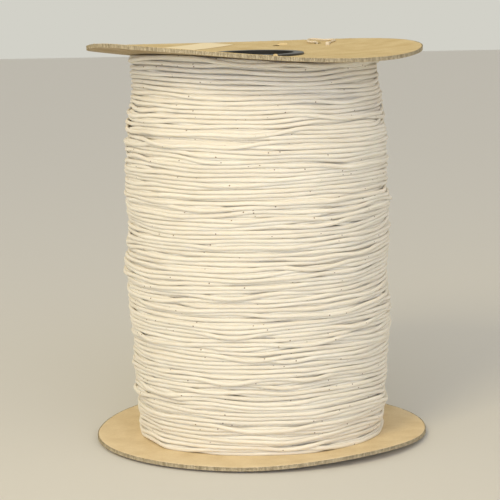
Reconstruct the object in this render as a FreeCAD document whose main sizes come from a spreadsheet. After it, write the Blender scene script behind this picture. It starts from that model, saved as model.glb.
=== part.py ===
"""A display reel of soft cotton cord, standing upright on one of its board flanges.

Two flanges die-cut from single-wall corrugated board sit on the ends of a spiral-wound paper tube.
A moulded plastic plug at each end passes through the board into the tube, and its lip clamps the
board.  The cord is wound on the tube by hand feed, and its outer end comes up through the top board.
Origin: centre of the bottom plug's lip face.  +Z runs along the tube.
"""
import FreeCAD, Part
import math
import os
import Sketcher

os.makedirs("parts", exist_ok=True)
doc = FreeCAD.newDocument("cord_reel")

SIZES = (
    ("flange_radius", 152.5, "radius of both die-cut board flanges"),
    ("board_thickness", 4.0, "corrugated board over both liners"),
    ("liner_thickness", 0.4, "flat paper liner"),
    ("medium_thickness", 0.3, "fluted paper between the liners"),
    ("flute_pitch", 7.8, "crest to crest"),
    ("flute_tip_radius", 1.5, "medium's centre line at a crest or trough"),
    ("top_curl_azimuth", 35.0, "degrees from +X to the way the top board curls"),
    ("top_flat_half", 46.0, "half width of the top board's flat middle"),
    ("top_rise_front", 14.5, "lift of the rim on the -X side of that direction"),
    ("top_rise_back", 9.0, "lift of the rim on the +X side of that direction"),
    ("bottom_curl_azimuth", -51.0, "degrees from +X to the way the bottom board curls"),
    ("bottom_flat_half", 116.0, "half width of the bottom board's flat middle"),
    ("bottom_rise", 4.0, "lift of the bottom board's rim on both sides"),
    ("cord_hole_radius", 3.5, "holes in the top board for an end of the cord"),
    ("start_hole_offset", 52.0, "from the axis to the hole for the inner end"),
    ("start_hole_azimuth", -69.0, "degrees from +X to that hole"),
    ("spare_hole_offset", 109.0, "from the axis to the hole for the end of a part-used reel"),
    ("spare_hole_azimuth", 79.0, "degrees from +X to that hole"),
    ("finish_hole_offset", 121.6, "from the axis to the hole for the outer end"),
    ("finish_hole_azimuth", 60.2, "degrees from +X to that hole"),
    ("bay_length", 343.0, "between the boards, and the tube's length"),
    ("tube_bore_radius", 38.1, "spiral-wound paper tube, inside"),
    ("tube_wall", 4.0, "spiral-wound paper tube"),
    ("board_hole_gap", 0.25, "radial gap of the plug's sleeve in the board"),
    ("lip_radius", 45.0, "plug's lip"),
    ("lip_thickness", 2.0, "plug's lip, proud of the board"),
    ("sleeve_gap", 0.2, "radial gap of the plug's sleeve in the tube"),
    ("sleeve_wall", 2.2, "plug's sleeve"),
    ("sleeve_depth", 26.0, "plug's sleeve, from the lip's face"),
    ("cup_depth", 9.0, "from the lip's face down to the plug's web"),
    ("web_thickness", 2.2, "plug's web"),
    ("boss_radius", 17.0, "plug's boss, outside"),
    ("boss_recess", 2.5, "boss below the lip's face"),
    ("arbor_radius", 12.9, "plug's bore, for a 25.4 mm spindle"),
    ("spoke_count", 6, "radial ribs of a plug, and its windows"),
    ("spoke_width", 2.4, "radial rib"),
    ("spoke_recess", 4.5, "rib below the lip's face"),
    ("window_radius", 5.5, "round window between two ribs"),
    ("crush_rib_count", 12, "ribs that grip the tube's bore"),
    ("crush_rib_width", 1.6, "rib along the sleeve"),
    ("lip_fillet", 0.8, "lip's outer edge"),
    ("winding_gap", 0.1, "cord's first layer to the paper tube, radial"),
    ("winding_belly_radius", 120.0, "wound cord at its fullest"),
    ("winding_foot_inset", 7.5, "how much less the radius is at the bottom board"),
    ("winding_head_inset", 6.3, "how much less the radius is at the top board"),
    ("foot_taper_length", 150.0, "height over which the foot swells to the belly"),
    ("head_taper_length", 75.0, "height over which the belly falls to the head"),
    ("cord_diameter", 3.4, "soft cotton cord"),
    ("tail_diameter", 1.8, "the cord's empty cover, pulled through the finish hole"),
    ("knot_radius", 2.2, "knot at the end of the tail"),
    ("tag_width", 32.0, "blank paper tag glued on the top board"),
    ("tag_length", 100.0, "blank paper tag"),
    ("tag_thickness", 0.2, "blank paper tag and its glue"),
    ("tag_offset", 113.8, "from the axis to the tag's middle"),
    ("tag_azimuth", 121.5, "degrees from +X to the tag's middle"),
    ("tag_turn", 57.0, "degrees from +X to the tag's long side"),
    ("trim_margin", 8.0, "stock left around a piece before it is cut out"),
)

# The tail lies on the top board: up through the finish hole, round an open loop behind it, on towards
# +X, and back to its knot.  The points are in world coordinates.
TAIL_ROUTE = (
    (60.5, 105.5, 352.1),
    (60.5, 105.5, 358.0),
    (55.2, 105.7, 358.0),
    (51.0, 109.6, 358.4),
    (50.6, 115.6, 359.5),
    (54.8, 120.0, 360.2),
    (60.9, 120.4, 359.8),
    (66.4, 117.7, 359.1),
    (72.6, 118.2, 359.4),
    (77.0, 114.4, 359.5),
    (77.2, 108.2, 359.2),
    (73.8, 100.8, 358.4),
    (70.8, 92.8, 357.7),
    (69.4, 84.2, 357.2),
)

# --- The sheet of sizes, and the makers that the pieces share ----------------------------------
sheet = doc.addObject("Spreadsheet::Sheet", "Sizes")
for row, (alias, amount, note) in enumerate(SIZES, start=1):
    sheet.set(f"A{row}", str(amount))
    sheet.setAlias(f"A{row}", alias)
    sheet.set(f"B{row}", note)
doc.recompute()

TOP_BOARD = {
    "azimuth": "Sizes.top_curl_azimuth",
    "flat": "Sizes.top_flat_half",
    "front": "Sizes.top_rise_front",
    "back": "Sizes.top_rise_back",
    "height": "Sizes.lip_thickness + Sizes.board_thickness + Sizes.bay_length",
}
BOTTOM_BOARD = {
    "azimuth": "Sizes.bottom_curl_azimuth",
    "flat": "Sizes.bottom_flat_half",
    "front": "Sizes.bottom_rise",
    "back": "Sizes.bottom_rise",
    "height": "Sizes.lip_thickness",
}
SHEET_REACH = "(Sizes.flange_radius + Sizes.trim_margin)"
SLEEVE_OUTSIDE = "(Sizes.tube_bore_radius - Sizes.sleeve_gap)"
SLEEVE_INSIDE = "(Sizes.tube_bore_radius - Sizes.sleeve_gap - Sizes.sleeve_wall)"
UP = FreeCAD.Vector(0, 0, 1)
DOWNWARDS = -math.pi / 2
CLOSE = 1e-4    # mm: two sizes nearer than this are one


def value(expression):
    """What an expression on the sheet comes to."""
    return float(sheet.evalExpression(expression))


def spot(across, along):
    """A point of a sketch, from two expressions."""
    return FreeCAD.Vector(value(across), value(along), 0)


def new_body(label, height="0", turn="0", axis=UP):
    """A body of its own, set at a height on the reel's axis and turned, by so many degrees."""
    body = doc.addObject("PartDesign::Body", label)
    body.Placement = FreeCAD.Placement(FreeCAD.Vector(), FreeCAD.Rotation(axis, 1))
    body.setExpression("Placement.Base.z", height)
    body.setExpression("Placement.Rotation.Angle", turn)
    return body


def new_sketch(body, name, plane):
    """A sketch on one of the body's own origin planes."""
    sketch = body.newObject("Sketcher::SketchObject", name)
    support = [item for item in body.Origin.OriginFeatures if item.Role == plane]
    sketch.AttachmentSupport = [(support[0], "")]
    sketch.MapMode = "FlatFace"
    return sketch


def dimension(sketch, kind, line, end, expression):
    """Places one end of a line from the sketch's origin, by an expression."""
    amount = value(expression)
    if abs(amount) < CLOSE:
        axis = -2 if kind == "DistanceX" else -1
        sketch.addConstraint(Sketcher.Constraint("PointOnObject", line, end, axis))
        return
    index = sketch.addConstraint(Sketcher.Constraint(kind, -1, 1, line, end, amount))
    sketch.setExpression(f"Constraints[{index}]", expression)


def outline(sketch, corners):
    """A closed outline, counter-clockwise; each corner is a pair of expressions.

    A third expression makes the edge that starts there an arc which bulges outwards, and is the
    height of its centre: the centre's other coordinate follows from both ends being as far from it.
    """
    first = sketch.GeometryCount
    count = len(corners)
    for index in range(count):
        across, along, *centre_along = corners[index]
        start = spot(across, along)
        end = spot(*corners[(index + 1) % count][:2])
        if not centre_along:
            sketch.addGeometry(Part.LineSegment(start, end), False)
            continue
        level = value(centre_along[0])
        gap = end.x ** 2 + (end.y - level) ** 2 - start.x ** 2 - (start.y - level) ** 2
        centre = FreeCAD.Vector(gap / (2 * (end.x - start.x)), level, 0)
        turns = [math.atan2(point.y - level, point.x - centre.x) for point in (start, end)]
        sweep = Part.Circle(centre, UP, start.distanceToPoint(centre))
        sketch.addGeometry(Part.ArcOfCircle(sweep, *turns), False)
    for index in range(count):
        line = first + index
        following = first + (index + 1) % count
        sketch.addConstraint(Sketcher.Constraint("Coincident", line, 2, following, 1))
        across, along, *centre_along = corners[index]
        before_across, before_along, *before_arc = corners[index - 1]
        if index and not before_arc and across == before_across:
            sketch.addConstraint(Sketcher.Constraint("Vertical", line - 1))
        else:
            dimension(sketch, "DistanceX", line, 1, across)
        if index and not before_arc and along == before_along:
            sketch.addConstraint(Sketcher.Constraint("Horizontal", line - 1))
        else:
            dimension(sketch, "DistanceY", line, 1, along)
        if centre_along:
            dimension(sketch, "DistanceY", line, 3, centre_along[0])


def circle(sketch, radius, across="0", along="0"):
    """A full circle whose radius and centre are expressions."""
    line = sketch.addGeometry(Part.Circle(spot(across, along), UP, value(radius)), False)
    index = sketch.addConstraint(Sketcher.Constraint("Radius", line, value(radius)))
    sketch.setExpression(f"Constraints[{index}]", radius)
    dimension(sketch, "DistanceX", line, 3, across)
    dimension(sketch, "DistanceY", line, 3, along)


def rectangle(sketch, half_across, half_along):
    """A rectangle centred on the sketch's origin."""
    low_across, low_along = f"-1 * {half_across}", f"-1 * {half_along}"
    corners = ((low_across, low_along), (half_across, low_along),
               (half_across, half_along), (low_across, half_along))
    outline(sketch, corners)


def cut_through(body, name, sketch):
    """Cuts the sketch's faces right through the body, both ways from the sketch."""
    pocket = body.newObject("PartDesign::Pocket", name)
    pocket.Profile = sketch
    pocket.Type = "ThroughAll"
    pocket.SideType = "Symmetric"
    return pocket


def pad_between(body, name, sketch, low, high):
    """Pads a sketch that lies on the XY plane from one height to another."""
    sketch.setExpression("AttachmentOffset.Base.z", low)
    pad = body.newObject("PartDesign::Pad", name)
    pad.Profile = sketch
    pad.setExpression("Length", f"{high} - ({low})")
    return pad


def polar_pattern(body, name, feature, count):
    """Repeats a feature evenly about the body's Z axis."""
    pattern = body.newObject("PartDesign::PolarPattern", name)
    pattern.Originals = [feature]
    pattern.Axis = (feature.Profile[0], ["N_Axis"])
    pattern.Angle = 360
    pattern.setExpression("Occurrences", count)
    body.Tip = pattern
    return pattern


def ring_edges(feature, radius, height):
    """Names of the feature's circular edges about Z with this radius, at this height."""
    names = []
    middle = UP * value(height)
    for index, edge in enumerate(feature.Shape.Edges, start=1):
        curve = edge.Curve
        if not isinstance(curve, Part.Circle) or abs(curve.Radius - value(radius)) > CLOSE:
            continue
        if (curve.Center - middle).Length < CLOSE:
            names.append(f"Edge{index}")
    return names


# --- Corrugated board: liners, and the fluted medium between them -------------------------------
def curl_radius(board, side):
    """Radius of the board's lower face, from the lift of its rim beyond the flat middle."""
    span = f"(Sizes.flange_radius - {board['flat']})"
    return f"(({span} ^ 2 + {board[side]} ^ 2) / (2 * {board[side]}))"


def curled_sheet(label, board, low, high):
    """A sheet between two heights of the board, flat in the middle and curled up at both sides.

    Its section is drawn across the flutes: a flat strip, then an arc each way whose ends are cut
    square to the sheet.  Both faces of a side share the arc's centre.  It is padded along the flutes.
    """
    body = new_body(label, board["height"], board["azimuth"])
    sketch = new_sketch(body, f"{label}_section", "XZ_Plane")
    flat, reach, foot, crown = value(board["flat"]), value(SHEET_REACH), value(low), value(high)
    geometry = []
    for side, name in ((1, "back"), (-1, "front")):
        radius = value(curl_radius(board, name))
        centre = FreeCAD.Vector(side * flat, radius, 0)
        sweep = math.asin((reach - flat) / (radius - foot))
        start, end = (DOWNWARDS, DOWNWARDS + sweep) if side > 0 else (DOWNWARDS - sweep, DOWNWARDS)
        under = Part.ArcOfCircle(Part.Circle(centre, UP, radius - foot), start, end)
        over = Part.ArcOfCircle(Part.Circle(centre, UP, radius - crown), start, end)
        if side > 0:
            geometry.append(Part.LineSegment(FreeCAD.Vector(-flat, foot, 0), FreeCAD.Vector(flat, foot, 0)))
            geometry += [under, Part.LineSegment(under.EndPoint, over.EndPoint), over]
        else:
            geometry.append(Part.LineSegment(FreeCAD.Vector(flat, crown, 0), FreeCAD.Vector(-flat, crown, 0)))
            geometry += [over, Part.LineSegment(over.StartPoint, under.StartPoint), under]
    sketch.addGeometry(geometry, False)
    join = [("Coincident", 0, 2, 1, 1), ("Coincident", 1, 2, 2, 1), ("Coincident", 2, 2, 3, 2),
            ("Coincident", 3, 1, 4, 1), ("Coincident", 4, 2, 5, 2), ("Coincident", 5, 1, 6, 1),
            ("Coincident", 6, 2, 7, 1), ("Coincident", 7, 2, 0, 1), ("Coincident", 3, 3, 1, 3),
            ("Coincident", 5, 3, 7, 3), ("Horizontal", 0), ("Horizontal", 4), ("Vertical", 0, 2, 1, 3),
            ("Vertical", 0, 1, 7, 3), ("Vertical", 0, 2, 3, 1), ("Vertical", 0, 1, 5, 2),
            ("PointOnObject", 1, 3, 2), ("PointOnObject", 7, 3, 6)]
    sketch.addConstraint([Sketcher.Constraint(*words) for words in join])
    dimension(sketch, "DistanceX", 0, 2, board["flat"])
    dimension(sketch, "DistanceX", 0, 1, f"-1 * {board['flat']}")
    dimension(sketch, "DistanceY", 0, 2, low)
    dimension(sketch, "DistanceY", 4, 1, high)
    dimension(sketch, "DistanceY", 1, 3, curl_radius(board, "back"))
    dimension(sketch, "DistanceY", 7, 3, curl_radius(board, "front"))
    dimension(sketch, "DistanceX", 2, 1, SHEET_REACH)
    dimension(sketch, "DistanceX", 6, 2, f"-1 * {SHEET_REACH}")
    pad = body.newObject("PartDesign::Pad", f"{label}_stock")
    pad.Profile = sketch
    pad.SideType = "Symmetric"
    pad.setExpression("Length", f"2 * {SHEET_REACH}")
    return body


def trim_to_flange(body):
    """Cuts away all that lies outside the flange's round outline."""
    sketch = new_sketch(body, f"{body.Label}_outline", "XY_Plane")
    rectangle(sketch, f"2 * {SHEET_REACH}", f"2 * {SHEET_REACH}")
    circle(sketch, "Sizes.flange_radius")
    cut_through(body, f"{body.Label}_trim", sketch)


def punch(body, name, radius, across="0", along="0"):
    """A round hole through the sheet."""
    sketch = new_sketch(body, f"{body.Label}_{name}", "XY_Plane")
    circle(sketch, radius, across, along)
    cut_through(body, f"{body.Label}_{name}_cut", sketch)


PLUG_HOLE = f"({SLEEVE_OUTSIDE} + Sizes.board_hole_gap)"
CORD_HOLES = ("start_hole", "spare_hole", "finish_hole")


def hole_place(name):
    """Where a cord hole lies, across and along the top board's flutes."""
    turn = f"(Sizes.{name}_azimuth - Sizes.top_curl_azimuth) * 1 deg"
    return f"Sizes.{name}_offset * cos({turn})", f"Sizes.{name}_offset * sin({turn})"


def liner(label, board, low, high):
    """A paper liner of one flange, with the plug's hole and, in the top one, the cord's holes."""
    body = curled_sheet(label, board, low, high)
    trim_to_flange(body)
    punch(body, "plug_hole", PLUG_HOLE)
    if board is TOP_BOARD:
        for name in CORD_HOLES:
            punch(body, name, "Sizes.cord_hole_radius", *hole_place(name))
    return body


def bent(board, across, level):
    """Where a point of the flat board comes to when the board curls.

    across runs over the flat board square to its flutes, and level is the height in the board.
    """
    flat = value(board["flat"])
    if abs(across) <= flat:
        return FreeCAD.Vector(across, 0, level)
    side = math.copysign(1, across)
    radius = value(curl_radius(board, "back" if side > 0 else "front"))
    turn = (abs(across) - flat) / radius
    reach = flat + (radius - level) * math.sin(turn)
    return FreeCAD.Vector(side * reach, 0, radius - (radius - level) * math.cos(turn))


def fluted_medium(label, board):
    """The fluted paper of one flange: a wave of arcs and straight flanks, extruded along the flutes.

    Crest and trough arcs of the medium's centre line have their centres half a pitch apart, and the
    flanks are the lines that touch both arcs from inside.  Each face is half a thickness off.
    """
    pitch, tip = sheet.flute_pitch, sheet.flute_tip_radius
    half = sheet.medium_thickness / 2
    lowest = sheet.liner_thickness + half
    highest = sheet.board_thickness - sheet.liner_thickness - half
    rise = highest - lowest - 2 * tip
    slope = math.asin(2 * tip / math.hypot(pitch / 2, rise)) + math.atan2(rise, pitch / 2)
    reach = value(SHEET_REACH)
    flutes = math.ceil(reach / pitch)

    def face_edges(offset):
        """Edges of one face, left to right, half a thickness above or below the centre line."""
        edges = []
        last = None
        for step in range(-2 * flutes, 2 * flutes + 1):
            crest = step % 2 == 1
            middle = step * pitch / 2
            centre = highest - tip if crest else lowest + tip
            radius = tip + offset if crest else tip - offset
            up = 1 if crest else -1
            ends = [(middle + turn * radius * math.sin(slope), centre + up * radius * math.cos(slope))
                    for turn in (-1, 1)]
            start, end = [bent(board, *point) for point in ends]
            top = bent(board, middle, centre + up * radius)
            if last is not None:
                edges.append(Part.LineSegment(last, start).toShape())
            edges.append(Part.Arc(start, top, end).toShape())
            last = end
        return edges

    upper, lower = face_edges(half), face_edges(-half)
    left = Part.LineSegment(lower[0].Vertexes[0].Point, upper[0].Vertexes[0].Point).toShape()
    right = Part.LineSegment(lower[-1].Vertexes[-1].Point, upper[-1].Vertexes[-1].Point).toShape()
    section = Part.Face(Part.Wire(Part.__sortEdges__(upper + lower + [left, right])))
    section.translate(FreeCAD.Vector(0, -reach, 0))
    wave = section.extrude(FreeCAD.Vector(0, 2 * reach, 0))
    rise = max(value(board["front"]), value(board["back"])) + sheet.board_thickness
    below = FreeCAD.Vector(0, 0, -sheet.trim_margin)
    depth = rise + 2 * sheet.trim_margin
    medium = wave.common(Part.makeCylinder(sheet.flange_radius, depth, below))
    medium = medium.cut(Part.makeCylinder(value(PLUG_HOLE), depth, below))
    for name in CORD_HOLES if board is TOP_BOARD else ():
        middle = spot(*hole_place(name)) + below
        medium = medium.cut(Part.makeCylinder(sheet.cord_hole_radius, depth, middle))
    feature = doc.addObject("Part::Feature", label)
    feature.Shape = max(medium.Solids, key=lambda solid: solid.Volume)
    feature.setExpression("Placement.Base.z", board["height"])
    feature.setExpression("Placement.Rotation.Angle", board["azimuth"])
    return feature


LOWER_LINER = ("0", "Sizes.liner_thickness")
UPPER_LINER = ("Sizes.board_thickness - Sizes.liner_thickness", "Sizes.board_thickness")
nodes = [
    liner("bottom_outer_liner", BOTTOM_BOARD, *LOWER_LINER),
    fluted_medium("bottom_fluting", BOTTOM_BOARD),
    liner("bottom_inner_liner", BOTTOM_BOARD, *UPPER_LINER),
    liner("top_inner_liner", TOP_BOARD, *LOWER_LINER),
    fluted_medium("top_fluting", TOP_BOARD),
    liner("top_outer_liner", TOP_BOARD, *UPPER_LINER),
]


# --- Blank paper tag, glued along the top board so that it takes the board's curl ---------------
tag = curled_sheet("top_tag", TOP_BOARD, "Sizes.board_thickness",
                   "Sizes.board_thickness + Sizes.tag_thickness")
tag_cut = new_sketch(tag, "top_tag_outline", "XY_Plane")
tag_cut.AttachmentOffset = FreeCAD.Placement(FreeCAD.Vector(), FreeCAD.Rotation(UP, 1))
TAG_TURN = "(Sizes.tag_azimuth - Sizes.top_curl_azimuth) * 1 deg"
tag_cut.setExpression("AttachmentOffset.Base.x", f"Sizes.tag_offset * cos({TAG_TURN})")
tag_cut.setExpression("AttachmentOffset.Base.y", f"Sizes.tag_offset * sin({TAG_TURN})")
tag_cut.setExpression("AttachmentOffset.Rotation.Angle", "Sizes.tag_turn - Sizes.top_curl_azimuth")
rectangle(tag_cut, f"3 * {SHEET_REACH}", f"3 * {SHEET_REACH}")
rectangle(tag_cut, "(Sizes.tag_length / 2)", "(Sizes.tag_width / 2)")
cut_through(tag, "top_tag_shape", tag_cut)
trim_to_flange(tag)
nodes.append(tag)


# --- Paper tube, butted between the boards -------------------------------------------------------
tube = new_body("core_tube", "Sizes.lip_thickness + Sizes.board_thickness")
tube_ring = new_sketch(tube, "core_tube_ring", "XY_Plane")
circle(tube_ring, "Sizes.tube_bore_radius + Sizes.tube_wall")
circle(tube_ring, "Sizes.tube_bore_radius")
pad_between(tube, "core_tube_wall", tube_ring, "0", "Sizes.bay_length")
nodes.append(tube)


# --- Moulded plugs: a lip over the board, a gripping sleeve, and a spoked cup round the bore ------
def moulded_plug(label, *place):
    """A plug with its lip's outer face at its own Z 0 and its sleeve towards its own +Z."""
    body = new_body(label, *place)
    section = new_sketch(body, f"{label}_section", "XZ_Plane")
    web_back = "Sizes.cup_depth + Sizes.web_thickness"
    outline(section, (
        ("Sizes.arbor_radius", "Sizes.boss_recess"),
        ("Sizes.boss_radius", "Sizes.boss_recess"),
        ("Sizes.boss_radius", "Sizes.cup_depth"),
        (SLEEVE_INSIDE, "Sizes.cup_depth"),
        (SLEEVE_INSIDE, "0"),
        ("Sizes.lip_radius", "0"),
        ("Sizes.lip_radius", "Sizes.lip_thickness"),
        (SLEEVE_OUTSIDE, "Sizes.lip_thickness"),
        (SLEEVE_OUTSIDE, "Sizes.sleeve_depth"),
        (SLEEVE_INSIDE, "Sizes.sleeve_depth"),
        (SLEEVE_INSIDE, web_back),
        ("Sizes.boss_radius", web_back),
        ("Sizes.boss_radius", "Sizes.sleeve_depth"),
        ("Sizes.arbor_radius", "Sizes.sleeve_depth"),
    ))
    turned = body.newObject("PartDesign::Revolution", f"{label}_turned")
    turned.Profile = section
    turned.ReferenceAxis = (section, ["V_Axis"])
    turned.Angle = 360

    spoke = new_sketch(body, f"{label}_spoke", "XY_Plane")
    boss_middle = "(Sizes.arbor_radius + Sizes.boss_radius) / 2"
    sleeve_middle = f"({SLEEVE_INSIDE} + {SLEEVE_OUTSIDE}) / 2"
    half_spoke = "Sizes.spoke_width / 2"
    outline(spoke, ((boss_middle, f"-1 * {half_spoke}"), (sleeve_middle, f"-1 * {half_spoke}"),
                    (sleeve_middle, half_spoke), (boss_middle, half_spoke)))
    spoke_pad = pad_between(body, f"{label}_spoke_rib", spoke, "Sizes.spoke_recess",
                            "Sizes.cup_depth + Sizes.web_thickness / 2")
    polar_pattern(body, f"{label}_spokes", spoke_pad, "Sizes.spoke_count")

    window = new_sketch(body, f"{label}_window", "XY_Plane")
    window_offset = f"(Sizes.boss_radius + {SLEEVE_INSIDE}) / 2"
    between = "180 / Sizes.spoke_count * 1 deg"
    circle(window, "Sizes.window_radius", f"{window_offset} * cos({between})",
           f"{window_offset} * sin({between})")
    window_cut = cut_through(body, f"{label}_window_cut", window)
    polar_pattern(body, f"{label}_windows", window_cut, "Sizes.spoke_count")

    grip = new_sketch(body, f"{label}_grip", "XY_Plane")
    half_grip = "Sizes.crush_rib_width / 2"
    outline(grip, ((sleeve_middle, f"-1 * {half_grip}"), ("Sizes.tube_bore_radius", f"-1 * {half_grip}"),
                   ("Sizes.tube_bore_radius", half_grip), (sleeve_middle, half_grip)))
    grip_pad = pad_between(body, f"{label}_grip_rib", grip,
                           "Sizes.lip_thickness + Sizes.board_thickness + Sizes.lip_fillet",
                           "Sizes.sleeve_depth - Sizes.web_thickness")
    gripped = polar_pattern(body, f"{label}_grips", grip_pad, "Sizes.crush_rib_count")

    doc.recompute()
    rounded = body.newObject("PartDesign::Fillet", f"{label}_lip_edge")
    rounded.Base = (gripped, ring_edges(gripped, "Sizes.lip_radius", "0"))
    rounded.setExpression("Radius", "Sizes.lip_fillet")
    doc.recompute()
    lead_in = body.newObject("PartDesign::Chamfer", f"{label}_lead_in")
    lead_in.Base = (rounded, ring_edges(rounded, SLEEVE_OUTSIDE, "Sizes.sleeve_depth"))
    lead_in.setExpression("Size", "Sizes.sleeve_wall / 2")
    return body


REEL_TOP = f"{TOP_BOARD['height']} + Sizes.board_thickness + Sizes.lip_thickness"
nodes.append(moulded_plug("bottom_hub"))
nodes.append(moulded_plug("top_hub", REEL_TOP, "180", FreeCAD.Vector(1, 0, 0)))


# --- Wound cord: a fat belly that thins to both boards, its head packed up under the curled board -
blank = new_body("winding_blank", "Sizes.lip_thickness + Sizes.board_thickness")
layers = new_sketch(blank, "winding_section", "XZ_Plane")
FIRST_LAYER = "Sizes.tube_bore_radius + Sizes.tube_wall + Sizes.winding_gap"
FOOT_RADIUS = "Sizes.winding_belly_radius - Sizes.winding_foot_inset"
HEAD_RADIUS = "Sizes.winding_belly_radius - Sizes.winding_head_inset"
HEAD_START = "Sizes.bay_length - Sizes.head_taper_length"
HEAD_STOCK = "Sizes.bay_length + Sizes.trim_margin"
outline(layers, (
    (FIRST_LAYER, "0"),
    (FOOT_RADIUS, "0", "Sizes.foot_taper_length"),
    ("Sizes.winding_belly_radius", "Sizes.foot_taper_length"),
    ("Sizes.winding_belly_radius", HEAD_START, HEAD_START),
    (HEAD_RADIUS, "Sizes.bay_length"),
    (HEAD_RADIUS, HEAD_STOCK),
    (FIRST_LAYER, HEAD_STOCK),
))
wound = blank.newObject("PartDesign::Revolution", "winding_turned")
wound.Profile = layers
wound.ReferenceAxis = (layers, ["V_Axis"])
wound.Angle = 360
doc.recompute()
soft_edge = blank.newObject("PartDesign::Fillet", "winding_foot_edge")
soft_edge.Base = (wound, ring_edges(wound, FOOT_RADIUS, "0"))
soft_edge.setExpression("Radius", "Sizes.cord_diameter / 2")
roof = curled_sheet("winding_roof", TOP_BOARD, "0", "Sizes.board_thickness + 2 * Sizes.trim_margin")
winding = doc.addObject("Part::Cut", "cord_winding")
winding.Base = blank
winding.Tool = roof
nodes.append(winding)


# --- Tail: the cord's limp empty cover, lying on the top board, with a knot at its end ------------
def tube_along(route, diameter):
    """A round tube along straight runs joined by tangent arcs, and the arcs' radii.

    Each arc's radius is 0.45 of the shorter run beside it, over the tangent of half the turn.
    """
    points = [FreeCAD.Vector(*point) for point in route]
    share = 0.45
    edges = []
    radii = []
    start = points[0]
    for before, corner, after in zip(points, points[1:], points[2:]):
        run_in = corner - before
        run_out = after - corner
        trim = share * min(run_in.Length, run_out.Length)
        half_turn = run_in.getAngle(run_out) / 2
        into = corner - run_in * (trim / run_in.Length)
        out_of = corner + run_out * (trim / run_out.Length)
        inward = (into + out_of) * 0.5 - corner
        radius = trim / math.tan(half_turn)
        sagitta = radius / math.cos(half_turn) - radius
        middle = corner + inward * (sagitta / inward.Length)
        edges.append(Part.LineSegment(start, into).toShape())
        edges.append(Part.Arc(into, middle, out_of).toShape())
        radii.append(radius)
        start = out_of
    edges.append(Part.LineSegment(start, points[-1]).toShape())
    path = Part.Wire(edges)
    ring = Part.Wire(Part.Circle(points[0], points[1] - points[0], diameter / 2).toShape())
    return path.makePipeShell([ring], True, False), path.Length, radii


tail = doc.addObject("Part::Feature", "cord_tail")
tail.Shape, tail_length, tail_radii = tube_along(TAIL_ROUTE, sheet.tail_diameter)
nodes.append(tail)
print("tail length", round(tail_length, 1), "radii", [round(radius, 1) for radius in tail_radii])
print("tail volume", round(tail.Shape.Volume, 2),
      "section x length", round(math.pi * (sheet.tail_diameter / 2) ** 2 * tail_length, 2))

knot = doc.addObject("Part::Sphere", "tail_knot")
knot.setExpression("Radius", "Sizes.knot_radius")
last, end = [FreeCAD.Vector(*point) for point in TAIL_ROUTE[-2:]]
knot.Placement.Base = end + (end - last).normalize() * (sheet.knot_radius * 0.8)
nodes.append(knot)


# --- Check every object, then write each node ----------------------------------------------------
doc.recompute()
for item in doc.Objects:
    if "Invalid" in item.State or "Error" in item.State:
        raise RuntimeError(f"{item.Label} failed: {item.State}")
for node in nodes:
    if node.Shape.isNull() or not node.Shape.isValid() or not node.Shape.Solids:
        raise RuntimeError(f"{node.Label} has no valid solid")
    node.Shape.exportStep(f"parts/{node.Label}.step")
    print(node.Label, len(node.Shape.Solids), "solid", round(node.Shape.Volume), "mm3",
          len(node.Shape.Faces), "faces")
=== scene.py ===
"""An upright reel of soft, unbleached cotton cord.

Two die-cut discs of corrugated board are held on the ends of a spiral-wound paper tube by moulded plugs.
Some eleven hundred metres of covered cotton cord are wound on it by hand feed.  Lengths are in metres.
"""
import math

import bpy
import numpy as np
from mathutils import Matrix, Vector


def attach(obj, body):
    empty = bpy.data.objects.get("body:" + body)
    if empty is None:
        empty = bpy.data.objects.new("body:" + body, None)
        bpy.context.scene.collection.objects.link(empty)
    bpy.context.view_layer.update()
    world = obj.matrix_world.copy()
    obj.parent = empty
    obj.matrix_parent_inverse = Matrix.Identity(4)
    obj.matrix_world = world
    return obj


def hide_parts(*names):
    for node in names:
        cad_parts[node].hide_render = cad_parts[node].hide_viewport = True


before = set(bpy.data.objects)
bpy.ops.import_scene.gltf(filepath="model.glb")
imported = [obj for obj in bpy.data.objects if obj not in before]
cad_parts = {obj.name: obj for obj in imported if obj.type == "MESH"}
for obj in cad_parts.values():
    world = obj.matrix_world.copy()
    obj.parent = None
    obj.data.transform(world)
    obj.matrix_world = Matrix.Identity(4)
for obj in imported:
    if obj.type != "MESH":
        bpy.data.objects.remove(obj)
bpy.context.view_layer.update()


# --- Room ---------------------------------------------------------------------------------------
# A pale matt table in a soft room: cool light comes from a wide window in front, a dimmer warm light from
# the walls round it, and there is one warm lamp high on the left in front.  The wall itself is pale grey.
def linear(colour):
    """An sRGB hex colour, such as "#c8b48c", as linear RGBA."""
    parts = np.array([int(colour[at:at + 2], 16) / 255 for at in (1, 3, 5)])
    parts = np.where(parts <= 0.04045, parts / 12.92, ((parts + 0.055) / 1.055) ** 2.4)
    return (*parts.tolist(), 1.0)


def add(tree, kind, sockets=(), **settings):
    """Adds a node with its settings; each socket gets a constant or another node's output."""
    node = tree.nodes.new(kind)
    for name, setting in settings.items():
        setattr(node, name, setting)
    for socket, given in dict(sockets).items():
        if isinstance(given, bpy.types.NodeSocket):
            tree.links.new(given, node.inputs[socket])
        else:
            node.inputs[socket].default_value = given
    return node


def new_material(name):
    """An empty material: (material, node tree)."""
    material = bpy.data.materials.new(name)
    material.use_nodes = True
    material.node_tree.nodes.clear()
    return material, material.node_tree


def finish_material(tree, shader):
    """Links the shader to the material's output."""
    add(tree, "ShaderNodeOutputMaterial", {"Surface": shader.outputs[0]})


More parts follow.
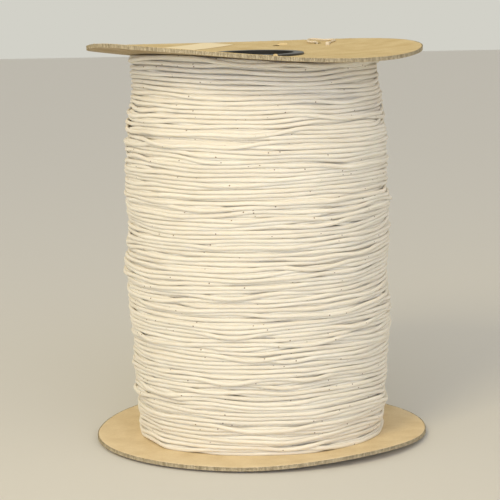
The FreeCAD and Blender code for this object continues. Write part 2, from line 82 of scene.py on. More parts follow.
def surface(name, points, around=False, uv=None, material=None, flip=False):
    """A mesh with a quad for each cell of a grid of points, rows x columns x 3.

    around joins the last column to the first; uv is a grid of UVs, then with one column more.
    """
    rows, columns = points.shape[:2]
    lows = np.arange(rows - 1)[:, None] * columns
    steps = np.arange(columns if around else columns - 1)[None, :]
    nexts = (steps + 1) % columns
    quads = np.stack([lows + steps, lows + nexts, lows + columns + nexts, lows + columns + steps], axis=-1)
    quads = quads.reshape(-1, 4)
    uv_corners = None
    if uv is not None:
        low = np.arange(rows - 1)[:, None]
        corners = [(low, steps), (low, steps + 1), (low + 1, steps + 1), (low + 1, steps)]
        uv_corners = np.stack([uv[corner] for corner in corners], axis=2).reshape(-1, 4, 2)
    if flip:
        quads = quads[:, ::-1]
        uv_corners = None if uv_corners is None else uv_corners[:, ::-1]
    return mesh_piece(name, points.reshape(-1, 3), quads, uv_corners, material)


def mesh_piece(name, points, quads, uv_corners=None, material=None):
    """A smooth-shaded mesh object from points, quads and the quads' UV corners."""
    mesh = bpy.data.meshes.new(name)
    mesh.vertices.add(len(points))
    mesh.vertices.foreach_set("co", np.ascontiguousarray(points, dtype=np.float32).ravel())
    mesh.loops.add(quads.size)
    mesh.loops.foreach_set("vertex_index", np.ascontiguousarray(quads, dtype=np.int32).ravel())
    mesh.polygons.add(len(quads))
    mesh.polygons.foreach_set("loop_start", np.arange(len(quads), dtype=np.int32) * 4)
    mesh.polygons.foreach_set("use_smooth", np.ones(len(quads), dtype=bool))
    if uv_corners is not None:
        layer = mesh.uv_layers.new(name="UVMap")
        layer.data.foreach_set("uv", np.ascontiguousarray(uv_corners, dtype=np.float32).ravel())
    mesh.update()
    mesh.validate()
    piece = bpy.data.objects.new(name, mesh)
    bpy.context.scene.collection.objects.link(piece)
    if material:
        mesh.materials.append(material)
    return piece


# Matt laminate, pale grey: it mirrors nothing, and takes the reel's soft shadow.
table_material, tree = new_material("matt_table")
finish_material(tree, add(tree, "ShaderNodeBsdfPrincipled", {
    "Base Color": linear("#dadad6"), "Roughness": 0.9, "Specular IOR Level": 0.2}))
corners = np.array([[[-6, -6, 0], [6, -6, 0]], [[-6, 6, 0], [6, 6, 0]]], dtype=float)
table = surface("table", corners, material=table_material)

# The light is warm all round, and grows and cools with the cube of how far its direction leans to the
# front.  The eye, mirrors and glass see the plain wall in its place.
world = bpy.data.worlds.new("soft_room")
bpy.context.scene.world = world
world.use_nodes = True
world.node_tree.nodes.clear()
tree = world.node_tree
towards = add(tree, "ShaderNodeTexCoord").outputs["Generated"]
depth = add(tree, "ShaderNodeSeparateXYZ", {0: towards}).outputs["Y"]
front = add(tree, "ShaderNodeMapRange", {"Value": depth, "From Min": 0.0, "From Max": -1.0}).outputs[0]
front = add(tree, "ShaderNodeMath", {0: front, 1: 3.0}, operation="POWER").outputs[0]
strength = add(tree, "ShaderNodeMath", {0: front, 1: 2.9, 2: 0.78}, operation="MULTIPLY_ADD").outputs[0]
tint = add(tree, "ShaderNodeMix", {
    "Factor": front, "A": linear("#dcd3bf"), "B": linear("#cedafc")}, data_type="RGBA").outputs[2]
glow = add(tree, "ShaderNodeBackground", {"Color": tint, "Strength": strength})
wall = add(tree, "ShaderNodeBackground", {"Color": linear("#d2d1c8"), "Strength": 1.0})
rays = add(tree, "ShaderNodeLightPath").outputs
mirrored = add(tree, "ShaderNodeMath", {
    0: rays["Is Glossy Ray"], 1: rays["Is Transmission Ray"]}, operation="MAXIMUM").outputs[0]
seen = add(tree, "ShaderNodeMath", {0: rays["Is Camera Ray"], 1: mirrored}, operation="MAXIMUM").outputs[0]
either = add(tree, "ShaderNodeMixShader", {0: seen, 1: glow.outputs[0], 2: wall.outputs[0]})
add(tree, "ShaderNodeOutputWorld", {"Surface": either.outputs[0]})


def lamp(name, place, aim, width, watts, colour):
    """A square area lamp at a place, facing a point."""
    light = bpy.data.lights.new(name, "AREA")
    light.size = width
    light.energy = watts
    light.color = linear(colour)[:3]
    fixture = bpy.data.objects.new(name, light)
    bpy.context.scene.collection.objects.link(fixture)
    fixture.location = place
    away = fixture.location - Vector(aim)
    fixture.rotation_euler = away.to_track_quat("Z", "Y").to_euler()


lamp("key", (-0.9, -1.9, 1.8), (0, 0, 0.2), 0.8, 24, "#ffe9b2")

# --- Camera -------------------------------------------------------------------------------------
# A long lens 2 m in front of the reel, 11 cm above its top board, which it sees at 3 degrees.  It looks
# down at the reel's middle and is tilted 1 degree.
camera_data = bpy.data.cameras.new("camera")
camera_data.lens = 157.9
camera_data.shift_x = -0.0168
camera = bpy.data.objects.new("camera", camera_data)
bpy.context.scene.collection.objects.link(camera)
camera.location = (0, -2.000, 0.4711)
camera.rotation_mode = "ZYX"
camera.rotation_euler = (math.pi / 2 - 0.1478, 0, -0.0191)
bpy.context.scene.camera = camera
bpy.context.scene.view_settings.view_transform = "Standard"

# --- Corrugated boards --------------------------------------------------------------------------
# Each flange is a 305 mm die-cut disc of single-wall board, 4 mm thick: two kraft liners glued to a
# fluted medium.  The cutting rule has crushed and serrated the edge, and damp has curled both boards.
FLANGE_RADIUS = 0.1525
FLAT_RADIUS = 0.046          # under the plug's lip the top board stays flat
PLUG_HOLE = 0.0384
LINER = 0.0004
MEDIUM = 0.0003
FLUTE_PITCH = 0.0078
BAY = (0.006, 0.349)         # heights of the two inner faces
TOP_FACES = (0.353, BAY[1])  # upper and lower face
BOTTOM_FACES = (BAY[0], 0.002)
TOP_CURL = math.radians(35)  # the way across the flutes, from +X
BOTTOM_CURL = math.radians(-51)
BOTTOM_FLAT = 0.100          # half the width of the bottom board's flat middle
BOTTOM_RISE = 0.0043
CORD_HOLES = ((0.052, -69.0), (0.109, 79.0), (0.1216, 60.2))    # from the axis, and degrees from +X
CORD_HOLE_RADIUS = 0.0035
CRUSHED_RADIUS = 0.1500      # the rule's pad has pressed the board down outside this


def top_lift(across, along):
    """How far the top board is lifted: a power of the distance beyond the plug, times the rim's own lift.

    The rim's lift is a mean and waves round the board of one, two and three crests, with a crest beside a
    dip at the left.  At the front left the cord has pushed the board up, most of all half way between the
    plug and the rim.
    """
    turn = np.arctan2(along, across)
    radius = np.hypot(across, along)
    share = (np.clip(radius - FLAT_RADIUS, 0, None) / (FLANGE_RADIUS - FLAT_RADIUS)) ** 1.7
    rim = 0.00831 + 0.00413 * np.cos(turn + math.radians(148.4))
    rim = rim + 0.00410 * np.cos(2 * (turn - math.radians(33.8)))
    rim = rim + 0.00075 * np.cos(3 * (turn - math.radians(8.0)))
    rim = rim + 0.0009 * np.exp(22 * (np.cos(turn - math.radians(210)) - 1))
    rim = rim - 0.0026 * np.exp(14 * (np.cos(turn - math.radians(172)) - 1))
    pushed = 0.016 * (0.5 + 0.5 * np.cos(turn - math.radians(240))) ** 6
    out = np.clip((radius - FLAT_RADIUS) / (FLANGE_RADIUS - FLAT_RADIUS), 0, 1)
    return share * rim + pushed * out * (1 - out)


def bottom_lift(across, along):
    """How far the bottom board is lifted: outside a flat middle, the square of the distance from it."""
    off_axis = np.abs(across * math.cos(BOTTOM_CURL) + along * math.sin(BOTTOM_CURL))
    return BOTTOM_RISE * (np.clip(off_axis - BOTTOM_FLAT, 0, None) / (FLANGE_RADIUS - BOTTOM_FLAT)) ** 2


def kraft(name, light, dark, flutes_turn):
    """Unbleached kraft paper, as it comes from the paper machine: matt tan, mottled, with darker fibres.

    Real fibres are too fine to show, and are drawn about 1 mm apart; the mottling is about 2 cm across.
    A liner's faint washboard has one ridge for each flute, where the glue has drawn the paper down.
    """
    material, tree = new_material(name)
    place = add(tree, "ShaderNodeTexCoord").outputs["Object"]
    fibres = add(tree, "ShaderNodeTexNoise", {
        "Vector": place, "Scale": 900.0, "Detail": 4.0, "Distortion": 1.5})
    blotches = add(tree, "ShaderNodeTexNoise", {"Vector": place, "Scale": 45.0, "Detail": 3.0})
    both = add(tree, "ShaderNodeMath", {0: fibres.outputs[0], 1: blotches.outputs[0]}, operation="ADD")
    share = add(tree, "ShaderNodeMapRange", {"Value": both.outputs[0], "From Min": 0.7, "From Max": 1.3})
    tint = add(tree, "ShaderNodeMix", {
        "Factor": share.outputs[0], "A": linear(dark), "B": linear(light)}, data_type="RGBA")
    across = add(tree, "ShaderNodeMapping", {
        "Vector": place, "Rotation": (0, 0, -flutes_turn), "Scale": (1 / FLUTE_PITCH,) * 3})
    # At a scale of 0.314 this node draws one band for each whole unit.
    ridges = add(tree, "ShaderNodeTexWave", {
        "Vector": across.outputs[0], "Scale": 0.314, "Distortion": 0.6, "Detail": 1.0},
        bands_direction="X")
    relief = add(tree, "ShaderNodeMath", {0: ridges.outputs["Fac"], 1: 0.35, 2: fibres.outputs[0]},
                 operation="MULTIPLY_ADD")
    bump = add(tree, "ShaderNodeBump", {"Height": relief.outputs[0], "Strength": 0.25, "Distance": 0.0002})
    finish_material(tree, add(tree, "ShaderNodeBsdfPrincipled", {
        "Base Color": tint.outputs[2], "Roughness": 0.82, "Specular IOR Level": 0.3,
        "Normal": bump.outputs[0]}))
    return material


top_kraft = kraft("kraft_liner_top", "#e0cd9f", "#c8b07c", TOP_CURL)
bottom_kraft = kraft("kraft_liner_bottom", "#ecdab5", "#d6c096", BOTTOM_CURL)
# The top board's lower paper is the same kraft painted darker: painted shade for the shade under the board.
shaded_underside_kraft = kraft("kraft_liner_underside_painted_shade", "#bfae8e", "#a08c6a", TOP_CURL)
medium_paper = kraft("fluting_paper", "#b3946a", "#8a6e4a", 0)

# Paper crushed by the cutting rule: grey-brown fibres, in upright ticks 1.5 mm apart from its teeth.
cut_paper, tree = new_material("crushed_paper_edge")
place = add(tree, "ShaderNodeTexCoord").outputs["Object"]
upright = add(tree, "ShaderNodeMapping", {"Vector": place, "Scale": (1.0, 1.0, 0.25)})
ticks = add(tree, "ShaderNodeTexNoise", {"Vector": upright.outputs[0], "Scale": 650.0, "Detail": 2.0})
share = add(tree, "ShaderNodeMapRange", {"Value": ticks.outputs[0], "From Min": 0.35, "From Max": 0.65})
tint = add(tree, "ShaderNodeMix", {
    "Factor": share.outputs[0], "A": linear("#8f8369"), "B": linear("#bdb091")}, data_type="RGBA")
finish_material(tree, add(tree, "ShaderNodeBsdfPrincipled", {
    "Base Color": tint.outputs[2], "Roughness": 0.95, "Specular IOR Level": 0.15}))


def liner(name, face, outwards, lift, holes, rings, teeth, rng):
    """One flat paper of a board, as rings of points over the disc: height = face + lift.

    The last rings bend towards the board's middle, where the rule crushed it, wave in and out as the
    rule's teeth do, and turn under by the paper's thickness.  Points next to a cord hole move out from its
    middle on to its edge, and the quads inside it are left out.
    """
    radii = np.concatenate([[PLUG_HOLE], rings, [CRUSHED_RADIUS, 0.1512, 0.1519, 0.1519, 0.140]])
    sinks = np.zeros_like(radii)
    sinks[-4:] = (0.0001, 0.0004, 0.0004 + LINER, LINER)
    near_rim = np.clip((radii - CRUSHED_RADIUS) / (FLANGE_RADIUS - CRUSHED_RADIUS), 0, 1)[:, None]
    columns = len(teeth)
    turns = np.linspace(0, 2 * math.pi, columns, endpoint=False)
    rows = radii[:, None] + near_rim * teeth
    jagged = near_rim * rng.normal(0, 0.00022, (1, columns))
    across, along = rows * np.cos(turns), rows * np.sin(turns)
    kept = np.ones(rows.size, dtype=bool)
    for offset, azimuth in holes:
        middle = offset * np.array([math.cos(math.radians(azimuth)), math.sin(math.radians(azimuth))])
        gap = np.hypot(across - middle[0], along - middle[1])
        inside = gap < CORD_HOLE_RADIUS * 0.75
        ringed = (gap < CORD_HOLE_RADIUS * 1.2) & ~inside
        pull = np.where(ringed, CORD_HOLE_RADIUS / np.maximum(gap, 1e-6), 1)
        across = middle[0] + (across - middle[0]) * pull
        along = middle[1] + (along - middle[1]) * pull
        kept &= ~inside.ravel()
    height = face + lift(across, along) - outwards * (sinks[:, None] + jagged)
    points = np.stack([across, along, height], axis=-1)
    row_starts = np.arange(len(radii) - 1)[:, None] * columns
    steps = np.arange(columns)[None, :]
    corner, beside = row_starts + steps, row_starts + (steps + 1) % columns
    quads = np.stack([corner, corner + columns, beside + columns, beside], axis=-1).reshape(-1, 4)
    quads = quads[kept[quads].all(axis=1)]
    quads = quads if outwards > 0 else quads[:, ::-1]
    return mesh_piece(name, points.reshape(-1, 3), quads)


def cut_edge(name, faces, lift, flutes_turn, rng):
    """The strip between the papers at the cut: its radius is the disc's, less the dents in it.

    The dents are the rule's teeth, a hollow at half height wherever a flute ends open, and roughness.
    """
    rows = np.linspace(0, 1, 7)[:, None]
    columns = 1920
    turns = np.linspace(0, 2 * math.pi, columns, endpoint=False)
    flutes = 0.5 + 0.5 * np.sin(2 * math.pi * FLANGE_RADIUS * np.cos(turns - flutes_turn) / FLUTE_PITCH)
    tooth = np.where(np.arange(columns) % 4 < 2, 0.0, 0.0005)
    dent = tooth + 0.0005 * flutes * np.sin(math.pi * rows) + rng.normal(0, 0.00015, (len(rows), columns))
    radius = FLANGE_RADIUS - dent
    across, along = radius * np.cos(turns), radius * np.sin(turns)
    low, high = faces[1] + 0.0003, faces[0] - 0.0003
    height = low + rows * (high - low) + lift(across, along)
    return surface(name, np.stack([across, along, height], axis=-1), around=True)


def fluting(name, faces, lift, flutes_turn, side):
    """Half of the medium, from the plug's hole to the cut: height = the board's middle + lift + a wave.

    The wave is a sine across the flutes, cut flat where it is glued to the liners, and it fades by a third
    towards the crushed rim.  side is 1 for the half behind the plug and -1 for the half in front.
    """
    wide = FLANGE_RADIUS - 0.0020
    across = np.arange(-wide + 1e-5, wide, FLUTE_PITCH / 12)
    inner = np.sqrt(np.clip((PLUG_HOLE + 0.0002) ** 2 - across ** 2, 0, None))
    outer = np.sqrt(wide ** 2 - across ** 2)
    along = side * (inner + np.linspace(0, 1, 26)[:, None] * (outer - inner))
    wave = np.clip(1.12 * np.sin(2 * math.pi * across / FLUTE_PITCH), -1, 1)
    depth = abs(faces[0] - faces[1]) / 2 - LINER - 0.0002
    crush = 1 - 0.35 * np.clip((np.hypot(across, along) - 0.148) / 0.004, 0, 1)
    x = across * math.cos(flutes_turn) - along * math.sin(flutes_turn)
    y = across * math.sin(flutes_turn) + along * math.cos(flutes_turn)
    z = (faces[0] + faces[1]) / 2 + lift(x, y) + depth * wave * crush
    half = surface(name, np.stack([x, y, z], axis=-1), flip=side < 0)
    thicken(half, MEDIUM, 0)
    return half


def thicken(sheet, paper, side):
    """Gives a sheet its paper's thickness: half on each side of it, or with side 1 all of it outside."""
    thickness = sheet.modifiers.new("paper", "SOLIDIFY")
    thickness.thickness = paper
    thickness.offset = side


def dress(piece, material, node):
    """Gives a new piece its material, and makes it stand for its CAD node on the reel's one body."""
    piece.data.materials.clear()
    piece.data.materials.append(material)
    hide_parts(node)
    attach(piece, "root")


def board(name, faces, lift, flutes_turn, holes, rings, papers, nodes, seed):
    """Both papers, the cut edge and the medium of a board; "outer" is its upper paper, "inner" its lower."""
    rng = np.random.default_rng(seed)
    teeth = np.where(np.arange(960) % 3 == 0, -0.0007, 0.0) + rng.normal(0, 0.00018, 960)
    upper = liner(f"{name}_outer_paper", faces[0], 1, lift, holes, rings, teeth, rng)
    dress(upper, papers[0], nodes[0])
    lower = liner(f"{name}_inner_paper", faces[1], -1, lift, holes, rings, teeth, rng)
    dress(lower, papers[1], nodes[2])
    rim = cut_edge(f"{name}_cut_edge", faces, lift, flutes_turn, rng)
    dress(rim, cut_paper, nodes[1])
    for place, side in (("back", 1), ("front", -1)):
        half = fluting(f"{name}_medium_{place}", faces, lift, flutes_turn, side)
        dress(half, medium_paper, nodes[1])


# The top board's rings of points lie closest together where the cord holes are.
fine = np.concatenate([np.linspace(0.040, 0.058, 13), np.linspace(0.064, 0.104, 8),
                       np.linspace(0.106, 0.126, 15), np.linspace(0.131, 0.148, 5)])
coarse = np.linspace(0.045, 0.148, 12)
board("top_board", TOP_FACES, top_lift, TOP_CURL, CORD_HOLES, fine, (top_kraft, shaded_underside_kraft),
      ("top_outer_liner", "top_fluting", "top_inner_liner"), 9)
board("bottom_board", BOTTOM_FACES, bottom_lift, BOTTOM_CURL, (), coarse, (bottom_kraft, bottom_kraft),
      ("bottom_inner_liner", "bottom_fluting", "bottom_outer_liner"), 12)

# The punch left a tongue of the upper liner standing at two of the cord's holes.  Each is given by its
# foot's two ends, its height, and how far its top leans back for each metre of height.
TONGUES = (
    ((0.0162, -0.0485), (0.0207, -0.0485), 0.0032, 0.10),
    ((0.0220, 0.1105), (0.0325, 0.1125), 0.0022, 0.60),
)
for number, (start, stop, tall, lean) in enumerate(TONGUES, start=1):
    along = np.linspace(0, 1, 15)[None, :]
    up = np.linspace(0, 1, 6)[:, None]
    taper = 0.5 + (along - 0.5) * (1 - 0.25 * up ** 2)
    x = start[0] + (stop[0] - start[0]) * taper
    y = start[1] + (stop[1] - start[1]) * taper + lean * tall * up ** 1.5
    foot = TOP_FACES[0] + top_lift(start[0], start[1]) - 0.0002
    z = foot + tall * up * (1 - 0.12 * (2 * along - 1) ** 2)
    tongue = surface(f"liner_tongue_{number}", np.stack(np.broadcast_arrays(x, y, z), axis=-1))
    thicken(tongue, LINER, 0)
    dress(tongue, top_kraft, "top_outer_liner")

# --- Tube and plugs -----------------------------------------------------------------------------
# The tube is spiral-wound grey-brown paperboard, 76 mm inside.  Its two plugs are moulded in one piece
# each, and their sleeves press into the tube through the boards, which their lips hold on.

# Paperboard wound from sized plies: matt and even.
tube_board, tree = new_material("spiral_paperboard")
finish_material(tree, add(tree, "ShaderNodeBsdfPrincipled", {
    "Base Color": linear("#9c8663"), "Roughness": 0.85, "Specular IOR Level": 0.25}))

# Black polypropylene from a fine-eroded mould: a dull sheen, broken up by a grain of about 0.7 mm, which
# is coarser than the mould's.
plug_plastic, tree = new_material("black_polypropylene")
place = add(tree, "ShaderNodeTexCoord").outputs["Object"]
grain = add(tree, "ShaderNodeTexNoise", {"Vector": place, "Scale": 1400.0, "Detail": 2.0})
grain = add(tree, "ShaderNodeBump", {"Height": grain.outputs[0], "Strength": 0.15, "Distance": 0.0001})
finish_material(tree, add(tree, "ShaderNodeBsdfPrincipled", {
    "Base Color": linear("#2b2a28"), "Roughness": 0.38, "IOR": 1.49, "Normal": grain.outputs[0]}))

for name, material in (("core_tube", tube_board), ("top_hub", plug_plastic), ("bottom_hub", plug_plastic)):
    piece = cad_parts[name]
    piece.data.materials.clear()
    piece.data.materials.append(material)

# --- Wound cord ---------------------------------------------------------------------------------
# One cord of 3.4 mm knitted cotton cover over soft filler.  It is laid by hand in passes up and down, so
# the turns wander, cross and leave gaps, and the outside swells in the middle.  Its last turn leads up
# to the finish hole.
CORD = 0.0034
BAY_LENGTH = BAY[1] - BAY[0]
BELLY_RADIUS = 0.1195
FOOT_INSET, FOOT_TAPER = 0.0070, 0.150
HEAD_INSET, HEAD_TAPER, HEAD_START = 0.0088, 0.050, 0.268
PASSES = 8                   # wound here: the outermost, which shape the surface
TURNS = 88                   # in a pass
SPOKES = 216                 # points round a turn
SHOWN_TURNS = 300            # the outermost ones, which hide the others
PASS_DEPTH = 0.00312
SINK = 0.0002                # a turn presses this far into what is beneath
SOFTNESS = 0.67              # soft turns bed in, which takes a third off every rise and hollow
SQUASH = (0.93, 1.14)        # width of the cord's section across the winding and along it, over its diameter
LEAD_SPOKES = 36             # over these the end leaves its lane for the finish hole
FINISH_RADIUS, FINISH_AZIMUTH = CORD_HOLES[2]
CELL = 0.0004                # height step of the surface that the turns are laid on
HEIGHTS = np.arange(0, BAY_LENGTH + CELL / 2, CELL)
AROUND = np.arange(SPOKES)
REACH = int(round(CORD / 2 / CELL))
BESIDE = np.arange(-REACH, REACH + 1)
DOME = np.sqrt(np.clip((CORD / 2) ** 2 - (BESIDE * CELL) ** 2, 0, None))
SLIDES = np.arange(-5, 6)    # cells that a turn may slide at a time
STIFF = np.hanning(19)[1:-1] / np.hanning(19)[1:-1].sum()


def wound_radius(height):
    """Outer radius of the winding: the belly's, less powers of how far the height is into foot or head."""
    narrower = FOOT_INSET * np.clip(1 - height / FOOT_TAPER, 0, 1) ** 1.6
    narrower = narrower + HEAD_INSET * np.clip((height - HEAD_START) / HEAD_TAPER, 0, 1) ** 1.3
    return BELLY_RADIUS - narrower


def blurred(values, width):
    """Values averaged along the line with a smooth window, its ends held."""
    window = np.hanning(width + 2)[1:-1]
    held = np.pad(values, width, mode="edge")
    return np.convolve(held, window / window.sum(), "same")[width:-width]


def lay_out_pass(field, left, rng):
    """Lane and sway at each spoke of each turn of a pass, with `left` passes still to come.

    The lane is where the summed density reaches the same share of its whole as the run has of the pass.
    Density grows with the root of what the surface lacks there, and below the top board, where the guide
    turns back.  Sway is a sum of 40 waves, each some 0.2 to 1.6 turns long, and the longer the stronger.
    """
    lack = blurred(wound_radius(HEIGHTS) - left * PASS_DEPTH - field.mean(axis=0), 25)
    crowded = 1 + 0.10 * np.clip((HEIGHTS - 0.295) / 0.015, 0, 1)
    density = blurred(np.clip(lack / PASS_DEPTH, 0.3, 2.2) ** 0.5 * crowded, 15)
    done = np.cumsum(density) - density[0]
    run = (np.arange(TURNS * SPOKES) + 0.5) / (TURNS * SPOKES)
    run = run if left else np.clip(run * (1 + 1 / TURNS) - 0.5 / TURNS, 0, 1)
    lane = np.interp(run if left % 2 == 0 else 1 - run, done / done[-1], HEIGHTS)
    lane = CORD / 2 + lane / BAY_LENGTH * (BAY_LENGTH - CORD)
    periods = rng.uniform(0.2, 1.6, (40, 1))
    waves = np.sin(2 * math.pi * (run * TURNS / periods + rng.uniform(size=(40, 1))))
    return lane, (rng.normal(size=(40, 1)) * waves * periods).sum(axis=0) * 0.00024


def nearest_cells(path):
    """The surface's cells nearest to a turn's heights, no nearer to the ends than half a cord."""
    return np.clip(np.round(path / CELL).astype(int), REACH, len(HEIGHTS) - 1 - REACH)


def resting_radius(field, cells):
    """Radius at which the cord's middle rests: the most of surface plus dome over the cells it covers."""
    spokes = AROUND.reshape(-1, *[1] * cells.ndim)
    return (field[spokes, cells[..., None] + BESIDE] + DOME).max(axis=-1)


def slide(field, path, before):
    """How far a turn slides at each spoke, in three rounds, from the end of the turn before it.

    Each round it makes for the least sum of resting radius and a cost of distance, and being stiff it takes
    the average over 17 spokes.
    """
    slid = np.zeros(SPOKES)
    for _ in range(3):
        cells = nearest_cells(path + slid)
        near = np.clip(cells[:, None] + SLIDES, REACH, len(HEIGHTS) - 1 - REACH)
        moved = slid[:, None] + SLIDES * CELL
        cost = resting_radius(field, near) + 0.12 * np.abs(moved) + 0.1 * moved ** 2 / (CORD / 2)
        wish = slid + 0.8 * CELL * SLIDES[cost.argmin(axis=1)]
        joined = np.concatenate([before, wish, wish[-1:].repeat(len(STIFF))])
        slid = np.convolve(joined, STIFF, "same")[len(STIFF):len(STIFF) + SPOKES]
    return slid


def pull_taut(limit, last):
    """One over the radius of a taut turn, which spans hollows in straight lines.

    On a straight line, one over the radius is the mean of its neighbours' over the cosine of a step, and it
    is never more than the limit, where the turn rests.
    """
    taut = limit
    for _ in range(40):
        ends = np.concatenate([[last], taut, taut[-1:]])
        taut = np.minimum(limit, (ends[:-2] + ends[2:]) / (2 * math.cos(2 * math.pi / SPOKES)))
    return taut


def wind_cord(rng):
    """Winds the passes turn by turn: (height, radius) of the cord's middle at every spoke of every turn.

    A field holds the surface's radius over spokes x heights.  A turn keeps to its lane, with a drift that
    it hands on to the next and that calms down near the boards.  It slides into the valleys, is pulled
    taut over what is beneath, and is then added to the field.
    """
    field = np.tile(wound_radius(HEIGHTS) - PASSES * PASS_DEPTH, (SPOKES, 1))
    drift = np.zeros(SPOKES)
    slid = np.zeros(SPOKES)
    last = None
    laid = []
    for left in reversed(range(PASSES)):
        lane, sway = lay_out_pass(field, left, rng)
        for turn in range(TURNS):
            part = slice(turn * SPOKES, (turn + 1) * SPOKES)
            drift = 0.75 * drift + sway[part]
            calm = np.clip(np.minimum(lane[part] / 0.020, (BAY_LENGTH - lane[part]) / 0.070), 0.05, 1)
            path = lane[part] + drift * calm
            slid = slide(field, path, slid[-len(STIFF):])
            path = np.clip(path + slid, CORD / 2, BAY_LENGTH - CORD / 2)
            cells = nearest_cells(path)
            limit = 1 / resting_radius(field, cells)
            last = limit[0] if last is None else last
            taut = pull_taut(limit, last)
            last = taut[-1]
            radius = 1 / taut - SINK
            under = (AROUND[:, None], cells[:, None] + BESIDE)
            field[under] = np.maximum(field[under], radius[:, None] + DOME)
            laid.append(np.stack([path, radius], axis=1))
    return np.concatenate(laid)


def raised(height, x, y):
    """Height above the table of a point of the winding, whose top quarter follows the top board's lift."""
    head = np.clip((height - 0.25) / (BAY_LENGTH - 0.25), 0, 1) ** 3
    return BAY[0] + height + top_lift(x, y) * head


# Unbleached cotton, knitted: creamy, without a shine, and light goes some way into it, so the hollows
# between turns glow.  It darkens and lightens over 10 cm or so, and a fleck of seed is left in every 6 cm
# or so.  The knit's stitches are drawn 1.4 mm long, about twice as coarse as real ones, so that they show.
cotton, tree = new_material("unbleached_cotton_cover")
along = add(tree, "ShaderNodeUVMap", uv_map="UVMap").outputs[0]
shades = add(tree, "ShaderNodeTexNoise", {"Vector": along, "Scale": 9.0, "Detail": 3.0, "Roughness": 0.6})
share = add(tree, "ShaderNodeMapRange", {"Value": shades.outputs[0], "From Min": 0.3, "From Max": 0.7})
tint = add(tree, "ShaderNodeMix", {
    "Factor": share.outputs[0], "A": linear("#ddd5c2"), "B": linear("#eee7d5")}, data_type="RGBA")
seeds = add(tree, "ShaderNodeTexVoronoi", {"Vector": along, "Scale": 110.0}, voronoi_dimensions="2D")
size = add(tree, "ShaderNodeSeparateColor", {0: seeds.outputs["Color"]})
near = add(tree, "ShaderNodeMapRange", {
    "Value": seeds.outputs["Distance"], "From Min": 0.045, "From Max": 0.085, "To Min": 1.0, "To Max": 0.0})
some = add(tree, "ShaderNodeMath", {0: size.outputs[0], 1: 0.87}, operation="GREATER_THAN")
seed = add(tree, "ShaderNodeMath", {0: near.outputs[0], 1: some.outputs[0]}, operation="MULTIPLY")
speckled = add(tree, "ShaderNodeMix", {
    "Factor": seed.outputs[0], "A": tint.outputs[2], "B": linear("#755a40")}, data_type="RGBA")
knit = add(tree, "ShaderNodeTexNoise", {"Vector": along, "Scale": 700.0, "Detail": 2.0})
bump = add(tree, "ShaderNodeBump", {"Height": knit.outputs[0], "Strength": 0.5, "Distance": 0.0005})
finish_material(tree, add(tree, "ShaderNodeBsdfPrincipled", {
    "Base Color": speckled.outputs[2], "Roughness": 0.95, "Specular IOR Level": 0.15,
    "Subsurface Weight": 0.6, "Subsurface Radius": (1.0, 0.9, 0.8), "Subsurface Scale": 0.0030,
    "Sheen Weight": 0.15, "Normal": bump.outputs[0]}))

# The cord's middle, with its end led to the finish hole, where its filler thins out.
laid = wind_cord(np.random.default_rng(4))[-SHOWN_TURNS * SPOKES:]
to_the_end = np.arange(-len(laid) + 1, 1)
angle = math.radians(FINISH_AZIMUTH) + 2 * math.pi * to_the_end / SPOKES
height, radius = laid[:, 0], laid[:, 1]
rest = wound_radius(height) - CORD / 2
radius = rest + SOFTNESS * (radius - rest)
leading = np.clip((to_the_end + LEAD_SPOKES) / LEAD_SPOKES, 0, 1)
radius = radius + (FINISH_RADIUS - radius[-1]) * leading ** 2
height = height + (BAY_LENGTH + CORD / 2 - height[-1]) * leading ** 3
x, y = radius * np.cos(angle), radius * np.sin(angle)
z = raised(height, x, y) + bottom_lift(x, y) * (1 - height / BAY_LENGTH) ** 12
middle = np.stack([x, y, z], axis=1)
length = np.concatenate([[0], np.cumsum(np.linalg.norm(np.diff(middle, axis=0), axis=1))])
rng = np.random.default_rng(11)
plump = (1 + blurred(rng.normal(size=len(laid)), 9) * 0.05) * (1 - 0.45 * leading ** 4)

# Its cover: an oval of eight sides carried along the middle, in six pieces that end in the same ring.
outwards = np.stack([np.cos(angle), np.sin(angle), np.zeros_like(angle)], axis=1)
up = np.array([0.0, 0.0, 1.0])
ring = np.linspace(0, 2 * math.pi, 9)[:-1][None, :, None]
girth = np.linspace(0, math.pi * CORD, 9)
cuts = np.linspace(0, len(laid) - 1, 7).astype(int)
for number, (start, stop) in enumerate(zip(cuts[:-1], cuts[1:]), start=1):
    part = slice(start, stop + 1)
    sides = outwards[part, None, :] * np.cos(ring) * SQUASH[0] + up * np.sin(ring) * SQUASH[1]
    points = middle[part, None, :] + (CORD / 2 * plump[part])[:, None, None] * sides
    uv = np.stack(np.broadcast_arrays(length[part, None], girth), axis=-1)
    piece = surface(f"wound_cord_{number}", points, around=True, uv=uv, flip=True)
    dress(piece, cotton, "cord_winding")

# The cord beneath the shown turns is one plain ground, which shows only as a dim tone between them.
height = np.linspace(0, BAY_LENGTH, 60)[:, None]
radius = wound_radius(height) - 2.5 * PASS_DEPTH
turns = np.linspace(0, 2 * math.pi, 128, endpoint=False)
x, y = radius * np.cos(turns), radius * np.sin(turns)
ground = surface("deeper_turns", np.stack([x, y, raised(height, x, y)], axis=-1), around=True)
dress(ground, cotton, "cord_winding")

# --- Cord's free end ----------------------------------------------------------------------------
# The cord's outer end comes up through the finish hole: 8 cm of its limp cover, empty of filler, ends in
# an overhand knot.  It is off-white cotton, and lies loose on the top board.
TAIL_ROUTE = (
    (60.5, 105.5, 352.1),
    (60.5, 105.5, 358.0),
    (55.2, 105.7, 358.0),
    (51.0, 109.6, 358.4),
    (50.6, 115.6, 359.5),
    (54.8, 120.0, 360.2),
    (60.9, 120.4, 359.8),
    (66.4, 117.7, 359.1),
    (72.6, 118.2, 359.4),
    (77.0, 114.4, 359.5),
    (77.2, 108.2, 359.2),
    (73.8, 100.8, 358.4),
    (70.8, 92.8, 357.7),
    (69.4, 84.2, 357.2),
)
TAIL = 0.0018

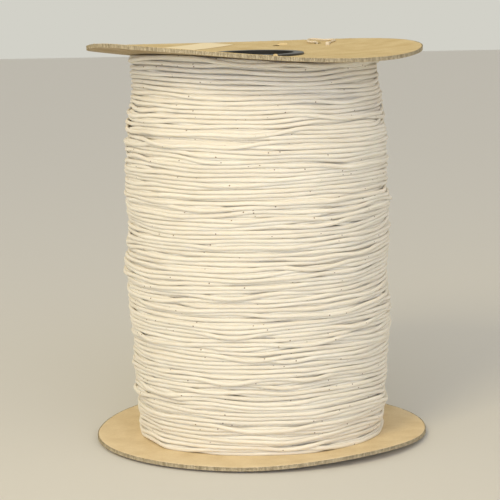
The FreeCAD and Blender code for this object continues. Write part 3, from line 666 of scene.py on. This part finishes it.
# Knitted cotton, flat and in shade from its own folds: a little darker than the stuffed cord, no shine.
cover_material, tree = new_material("knitted_cotton_cover")
finish_material(tree, add(tree, "ShaderNodeBsdfPrincipled", {
    "Base Color": linear("#d9ccb2"), "Roughness": 0.95, "Specular IOR Level": 0.2}))

line = bpy.data.curves.new("cord_tail_line", "CURVE")
line.dimensions = "3D"
line.bevel_depth = TAIL / 2
line.bevel_resolution = 3
line.resolution_u = 8
line.use_fill_caps = True
strand = line.splines.new("NURBS")
strand.points.add(len(TAIL_ROUTE) - 1)
for point, place in zip(strand.points, TAIL_ROUTE):
    point.co = (*[step / 1000 for step in place], 1)
strand.order_u = 3
strand.use_endpoint_u = True
line.materials.append(cover_material)
tail = bpy.data.objects.new("tail_line", line)
bpy.context.scene.collection.objects.link(tail)
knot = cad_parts["tail_knot"]
knot.data.materials.clear()
knot.data.materials.append(cover_material)
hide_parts("cord_tail")
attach(tail, "root")

# --- Paper tag ----------------------------------------------------------------------------------
# A blank strip of uncoated cream paper, 32 mm wide, is glued on the top board at the back left.  Its far
# end is rounded, and keeps 7 mm inside the board's edge.
TAG_SIZE = (0.100, 0.032)
TAG_PAPER = 0.0002
TAG_MIDDLE = np.array([-0.0608, 0.0920])
TAG_TURN = math.radians(57)
TAG_INSET = 0.007

# Uncoated printing paper: paler and smoother than the kraft under it, with next to no sheen.
tag_paper, tree = new_material("uncoated_cream_paper")
finish_material(tree, add(tree, "ShaderNodeBsdfPrincipled", {
    "Base Color": linear("#f3e6c4"), "Roughness": 0.8, "Specular IOR Level": 0.3}))

# A flat grid, turned and moved; what lies too near the rim is drawn in to it, and all follows the board.
length, width = np.meshgrid(np.linspace(-0.5, 0.5, 61), np.linspace(-0.5, 0.5, 24))
length, width = length * TAG_SIZE[0], width * TAG_SIZE[1]
x = TAG_MIDDLE[0] + length * math.cos(TAG_TURN) - width * math.sin(TAG_TURN)
y = TAG_MIDDLE[1] + length * math.sin(TAG_TURN) + width * math.cos(TAG_TURN)
shrink = np.minimum(1, (FLANGE_RADIUS - TAG_INSET) / np.hypot(x, y))
x, y = x * shrink, y * shrink
z = TOP_FACES[0] + top_lift(x, y) + TAG_PAPER
tag = surface("paper_tag", np.stack([x, y, z], axis=-1))
thicken(tag, TAG_PAPER, 1)
dress(tag, tag_paper, "top_tag")
